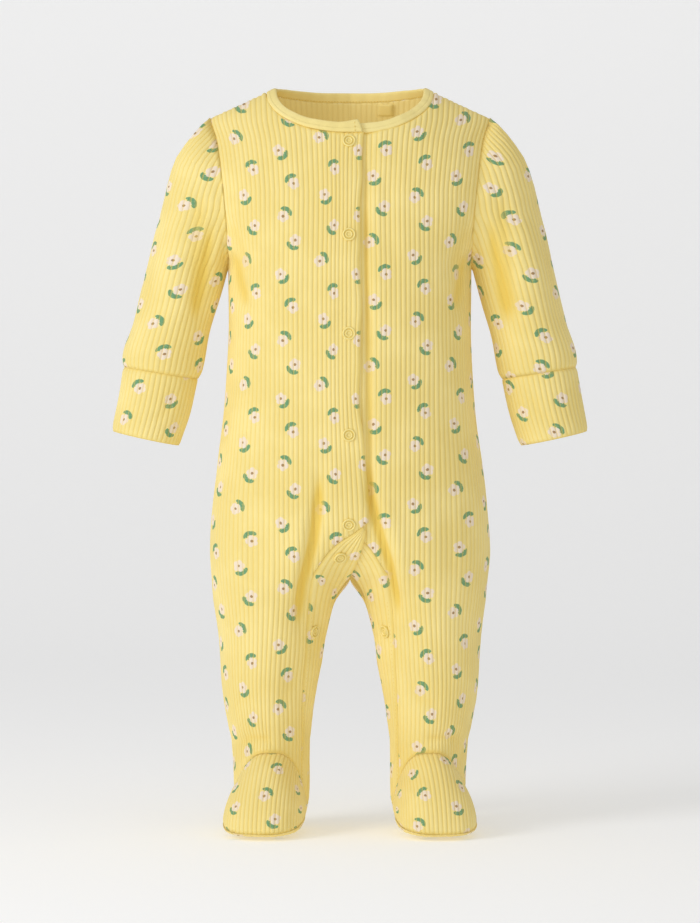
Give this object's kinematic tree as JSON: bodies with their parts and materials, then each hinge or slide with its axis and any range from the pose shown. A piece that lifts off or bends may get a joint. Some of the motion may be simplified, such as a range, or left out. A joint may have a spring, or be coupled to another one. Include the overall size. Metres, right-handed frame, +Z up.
{
  "type": "footed baby sleepsuit",
  "caption": "Long-sleeved footed baby sleepsuit in rib knit, worn form with open hollows, lapped snap front that runs on down the inner legs, bound neck, cuffs and hanger loop.",
  "frame": {"origin": "between the shoulders, at the height of the neck's highest points, where the wearer holds the suit up", "axes": "+Z up, the front faces -Y, and +X is the wearer's left"},
  "size_m": [0.3512, 0.1442, 0.5465],
  "materials": {
    "rib_knit": "matt cotton rib knit, butter yellow with a small flower print",
    "cuff_rib": "matt cotton rib knit, butter yellow with a small flower print",
    "binding": "matt plain cotton knit tape, pale yellow",
    "leg_band": "matt cotton rib knit, butter yellow with a small flower print",
    "snap_cap": "satin enamelled metal, pale yellow"
  },
  "bodies": {
    "root": {"front_right": "rib_knit", "front_left": "rib_knit", "back": "rib_knit", "sleeve_right": "rib_knit", "sleeve_left": "rib_knit", "cuff_right": "cuff_rib", "cuff_left": "cuff_rib", "neck_binding": "binding", "hanger_loop": "binding", "leg_band_right": "leg_band", "leg_band_left": "leg_band", "leg_band_back": "leg_band", "foot_top_right": "rib_knit", "foot_top_left": "rib_knit", "sole_right": "rib_knit", "sole_left": "rib_knit", "snap_1": "snap_cap", "snap_2": "snap_cap", "snap_3": "snap_cap", "snap_4": "snap_cap", "snap_5": "snap_cap", "snap_6": "snap_cap", "snap_7": "snap_cap", "snap_8": "snap_cap"}
  },
  "joints": []
}
